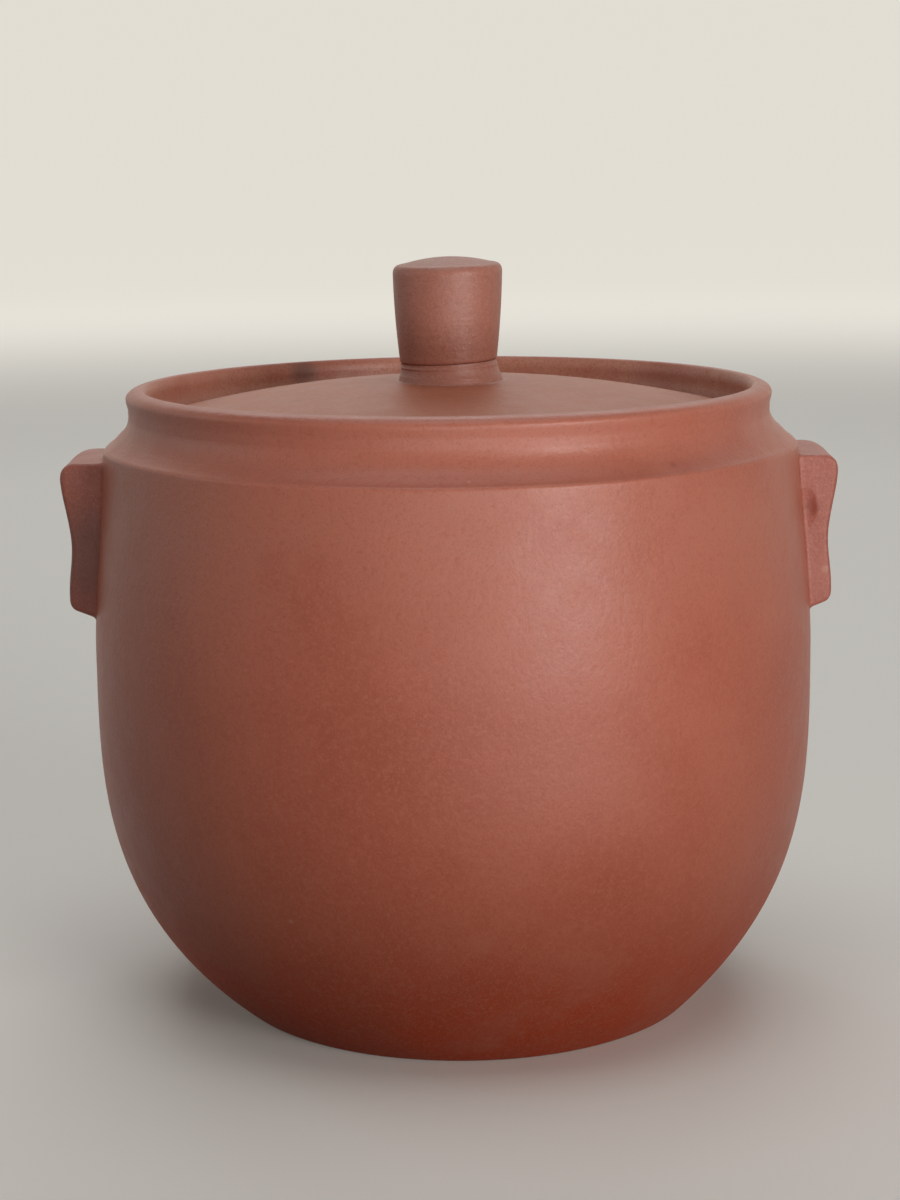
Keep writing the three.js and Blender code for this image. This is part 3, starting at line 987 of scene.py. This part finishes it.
def marked_and_shaded(shading, colour, place, marks_and_shade):
    """A colour with small marks on it, and with painted shade and shadow on some spots."""
    for centre, radius, spot_colour, strength in marks_and_shade:
        away = shading.add("ShaderNodeVectorMath", operation="DISTANCE")
        shading.links.new(place, away.inputs[0])
        away.inputs[1].default_value = centre
        share = shading.spread(away.outputs["Value"], radius, radius * SPOT_CORE, 0, strength)
        colour = shading.mixed(share, colour, spot_colour)
    return colour


def grained(shading, noises, brush, depth):
    """Gives a surface the look of a shallow grain with turning lines in it."""
    lines = shading.noise(shading.place(LINE_STRETCH), *LINE_NOISE)
    grain = noises["sand"]
    for noise, weight in ((noises["fine"], FINE_GRAIN), (noises["patches"], PATCH_GRAIN), (lines, brush)):
        grain = shading.maths("ADD", shading.maths("MULTIPLY", noise, weight), grain)
    shading.bump(grain, depth)


def clay(
    name, base, pale, dark, roughness, grain_depth, brush=0.0, tones=(), painted_inner_light=None, painted_side_shade=None,
    marks_and_shade=(), matt_foot=False,
):
    """Fired clay: slow clouds, fine sand, faint turning lines and a shallow grain.

    base, pale and dark are colours, and brush is how strongly turning lines show. tones are (from
    height, to height, colour) that the base turns to, which can be painted shade and sheen. The painted
    inner light, the painted side shade and some of the spots paint light and shade too. A matt foot is
    rougher and less glossy than the belly. Places and depths are in millimetres.
    """
    shading = Shading(name)
    shading.shader.inputs["IOR"].default_value = CLAY_IOR
    place = shading.place()
    height = shading.part(place, "Z")
    noises = {kind: shading.noise(place, *settings) for kind, settings in CLAY_NOISES.items()}

    colour = base
    for from_height, to_height, tone in tones:
        colour = shading.mixed(shading.spread(height, from_height, to_height), colour, tone)
    if painted_inner_light:
        colour = with_painted_inner_light(shading, colour, painted_inner_light)
    if painted_side_shade:
        colour = with_painted_side_shade(shading, colour, painted_side_shade)
    for kind, start, full, strength, shade in COLOUR_LAYERS:
        share = shading.spread(noises[kind], start, full, 0, strength)
        colour = shading.mixed(share, colour, pale if shade == "pale" else dark)
    colour = marked_and_shaded(shading, colour, place, marks_and_shade)
    shading.feed(shading.shader.inputs["Base Color"], colour)

    rough = shading.maths("ADD", shading.spread(noises["patches"], *PATCH_ROUGHNESS), roughness)
    if matt_foot:
        rough = shading.maths("ADD", shading.spread(height, *FOOT_ROUGHNESS), rough)
        shading.feed(shading.shader.inputs["Specular IOR Level"], shading.spread(height, *FOOT_GLOSS))
    shading.feed(shading.shader.inputs["Roughness"], rough)
    grained(shading, noises, brush, grain_depth)
    return shading.material


def body_clay():
    """The floor and wall: burnished, with a matt foot that is redder, partly in its own clay and partly by
    painted shade, and a painted sheen that pales the upper wall.
    """
    return clay("body_clay", **JAR_FINISH, brush=0.1, tones=JAR_SHADE_AND_SHEEN_TONES, marks_and_shade=WALL_MARKS, matt_foot=True)


def neck_clay():
    """The shoulder, neck and lip: burnished as the wall, with more turning lines, a painted sheen, painted
    light on the inside and a painted shade inside at the back.
    """
    return clay(
        "neck_clay", **JAR_FINISH, brush=0.3, tones=JAR_SHADE_AND_SHEEN_TONES, painted_inner_light=INNER_NECK_PAINTED_LIGHT, marks_and_shade=NECK_MARKS_AND_SHADE,
    )


def lug_clay():
    """The lugs: smoothed with slip, with painted shade on their sides, a painted shadow on the left lug's
    front and a darker thumb dent that is partly painted shade.
    """
    return clay(
        "lug_clay",
        base=(0.39, 0.112, 0.074),
        pale=(0.48, 0.165, 0.12),
        dark=(0.30, 0.075, 0.046),
        roughness=0.48,
        grain_depth=0.07,
        # Painted shade on the lugs' sides, which face away from the light
        painted_side_shade=(0.3, 0.084, 0.054),
        marks_and_shade=LUG_MARKS_AND_SHADOW,
    )


def lid_clay():
    """The lid's plate and ring: sandy and matt."""
    return clay(
        "lid_clay",
        base=(0.43, 0.136, 0.074),
        pale=(0.49, 0.175, 0.1),
        dark=(0.36, 0.105, 0.053),
        roughness=0.5,
        grain_depth=0.05,
    )


def knob_clay():
    """The knob and its skirt: smoothed on the turntable, which left lines."""
    return clay(
        "knob_clay",
        base=(0.385, 0.146, 0.101),
        pale=(0.46, 0.19, 0.14),
        dark=(0.31, 0.105, 0.067),
        roughness=0.46,
        grain_depth=0.055,
        brush=0.6,
    )


# Assembly

def jar():
    """The floor, wall, shoulder, neck, lip and both lugs."""
    body = body_clay()
    neck = neck_clay()
    jar_piece("base_clay", base_outline(), body, "base_disc", closed=False)
    jar_piece("wall_clay", wall_outline(), body, "body_wall")
    jar_piece("shoulder_clay", shoulder_outline(), neck, "shoulder_ring")
    jar_piece("neck_clay", neck_outline(), neck, "neck_collar")
    jar_piece("lip_clay", lip_outline(), neck, "mouth_lip")
    lug_pieces(lug_clay())


def lid():
    """The plate, the ring under it, the skirt and the knob."""
    plate = lid_clay()
    knob = knob_clay()
    lid_piece("lid_dome", lid_outline(), plate, "lid_clay", "lid_plate", closed=False)
    lid_piece("lid_ring", flange_outline(), plate, "lid_clay", "lid_flange")
    lid_piece(
        "knob_collar", skirt_outline(), knob, "knob_clay", "knob_skirt",
        closed=False, sides=KNOB_SIDES, centre=skirt_centre, lift=knob_lift,
    )
    lid_piece(
        "knob_top", knob_outline(), knob, "knob_clay", "knob",
        closed=False, sides=KNOB_SIDES, centre=knob_centre, lift=knob_lift,
    )


# Studio, in metres

STUDIO_RADIUS = 1.9
STUDIO_CURVE = 0.7
STUDIO_HEIGHT = 2.2
STUDIO_SIDES = 96
STUDIO_STEPS = 24

# Its paint: the colours of its floor and wall as seen, and of what light it throws back
STUDIO_FLOOR = (0.86, 0.84, 0.79)
STUDIO_WALL = (0.75, 0.72, 0.65)
STUDIO_BOUNCE = (0.16, 0.15, 0.14)
STUDIO_ROUGHNESS = 0.9
STUDIO_GLOSS = 0.1
WALL_STARTS = 0.45
WALL_REACHED = 1.3
FLOOR_GLOW = 0.08

# The point that the soft boxes face, and the light that is everywhere
LIGHT_AIM = (0, 0, 0.05)
AIR_COLOUR = (0.9, 0.92, 0.95)
AIR_STRENGTH = 0.05

# The camera: its place, its turns in degrees, its lens and sensor in millimetres
CAMERA_PLACE = (0, -0.3545, 0.1231)
CAMERA_PITCH = -11.01
CAMERA_YAW = -0.053
CAMERA_ROLL = -0.72
CAMERA_LENS = 80.07
CAMERA_SENSOR = 36
CAMERA_NEAR = 0.01


def studio_paint():
    """Pale paint that throws little light back on the jar.

    Away from the jar it turns to an even pale wall, which the camera and reflections see whatever light
    falls on it.
    """
    shading = Shading("studio_paint")
    ray = shading.add("ShaderNodeLightPath")
    seen = shading.maths("MAXIMUM", ray.outputs["Is Camera Ray"], ray.outputs["Is Glossy Ray"])
    seen = shading.maths("MAXIMUM", seen, ray.outputs["Is Transmission Ray"])
    away = shading.length(shading.add("ShaderNodeTexCoord").outputs["Object"])
    wall = shading.spread(away, WALL_STARTS, WALL_REACHED)
    wall_seen = shading.maths("MULTIPLY", wall, seen)
    glow = shading.maths("MULTIPLY", shading.spread(wall, 0, 1, FLOOR_GLOW, 1), seen)
    colour = shading.mixed(seen, STUDIO_BOUNCE, STUDIO_FLOOR)
    shading.feed(shading.shader.inputs["Base Color"], shading.mixed(wall_seen, colour, (0, 0, 0)))
    shading.feed(shading.shader.inputs["Emission Color"], STUDIO_WALL)
    shading.feed(shading.shader.inputs["Emission Strength"], glow)
    shading.feed(shading.shader.inputs["Roughness"], STUDIO_ROUGHNESS)
    shading.feed(shading.shader.inputs["Specular IOR Level"], STUDIO_GLOSS)
    return shading.material


def studio():
    """A pale floor that curves up into a round pale wall."""
    inner = STUDIO_RADIUS - STUDIO_CURVE
    outline = [(0, 0), *straight((0, 0), (inner, 0), STUDIO_STEPS)]
    for step in range(1, STUDIO_STEPS + 1):
        angle = step / STUDIO_STEPS * math.pi / 2
        outline.append((inner + STUDIO_CURVE * math.sin(angle), STUDIO_CURVE * (1 - math.cos(angle))))
    outline.extend(straight((STUDIO_RADIUS, STUDIO_CURVE), (STUDIO_RADIUS, STUDIO_HEIGHT), FLAT_STEPS))
    points, faces = turned(outline, STUDIO_SIDES, closed=False, unevenness=0)
    mesh = bpy.data.meshes.new("studio")
    mesh.from_pydata(points, [], faces)
    mesh.polygons.foreach_set("use_smooth", [True] * len(mesh.polygons))
    mesh.materials.append(studio_paint())
    floor = bpy.data.objects.new("studio", mesh)
    bpy.context.scene.collection.objects.link(floor)


def area_light(name, azimuth, height, distance, width, length, power, colour=(1, 1, 1)):
    """A light the shape of a rectangle, which the camera doesn't see.

    Azimuth is in degrees to the camera's right. Distance is from the jar's axis.
    """
    lamp = bpy.data.lights.new(name, "AREA")
    lamp.shape = "RECTANGLE"
    lamp.size = width
    lamp.size_y = length
    lamp.energy = power
    lamp.color = colour
    light = bpy.data.objects.new(name, lamp)
    turn = math.radians(azimuth)
    light.location = (math.sin(turn) * distance, -math.cos(turn) * distance, height)
    light.visible_camera = False
    bpy.context.scene.collection.objects.link(light)
    return light


def soft_box(name, **settings):
    """An area light that faces the jar."""
    light = area_light(name, **settings)
    light.rotation_mode = "QUATERNION"
    light.rotation_quaternion = (light.location - Vector(LIGHT_AIM)).to_track_quat("Z", "Y")


def low_light(name, azimuth, **settings):
    """An area light that lies low before the jar and faces up, as a bright floor would."""
    light = area_light(name, azimuth, **settings)
    light.rotation_euler = (math.pi, 0, math.radians(azimuth))


def lights():
    """A window on the right, a fill on the left, a ceiling, a light behind and two low ones in front."""
    soft_box(
        "window", azimuth=37, height=0.25, distance=1.25, width=0.56, length=0.46, power=7,
        colour=(1.0, 0.99, 0.97),
    )
    soft_box("left_fill", azimuth=-90, height=0.4, distance=1.25, width=0.8, length=0.6, power=1)
    soft_box("ceiling", azimuth=0, height=1.9, distance=0.2, width=1.6, length=1.6, power=11.5)
    soft_box("back", azimuth=180, height=1.2, distance=1.1, width=1.2, length=0.8, power=5)
    low_light("front_glow", azimuth=13, height=0.015, distance=0.45, width=0.45, length=0.3, power=2.6)
    low_light("near_glow", azimuth=24, height=0.012, distance=0.135, width=0.12, length=0.08, power=0.035)


def air():
    """A little even light from everywhere."""
    world = bpy.data.worlds.new("studio_air")
    world.use_nodes = True
    background = world.node_tree.nodes["Background"]
    background.inputs["Color"].default_value = (*AIR_COLOUR, 1)
    background.inputs["Strength"].default_value = AIR_STRENGTH
    bpy.context.scene.world = world


def camera():
    """The photograph's viewpoint."""
    pitch = math.radians(CAMERA_PITCH)
    yaw = math.radians(CAMERA_YAW)
    roll = math.radians(CAMERA_ROLL)
    forward = Vector((
        math.sin(yaw) * math.cos(pitch), math.cos(yaw) * math.cos(pitch), math.sin(pitch),
    ))
    level = Vector((math.cos(yaw), -math.sin(yaw), 0))
    upright = level.cross(forward)
    right = math.cos(roll) * level + math.sin(roll) * upright
    up = -math.sin(roll) * level + math.cos(roll) * upright
    turns = Matrix((right, up, -forward)).transposed().to_4x4()
    data = bpy.data.cameras.new("camera")
    data.lens = CAMERA_LENS
    data.sensor_width = CAMERA_SENSOR
    data.clip_start = CAMERA_NEAR
    view = bpy.data.objects.new("camera", data)
    view.matrix_world = Matrix.Translation(CAMERA_PLACE) @ turns
    bpy.context.scene.collection.objects.link(view)
    bpy.context.scene.camera = view


jar()
lid()
studio()
lights()
air()
camera()
bpy.context.scene.view_settings.view_transform = "Standard"
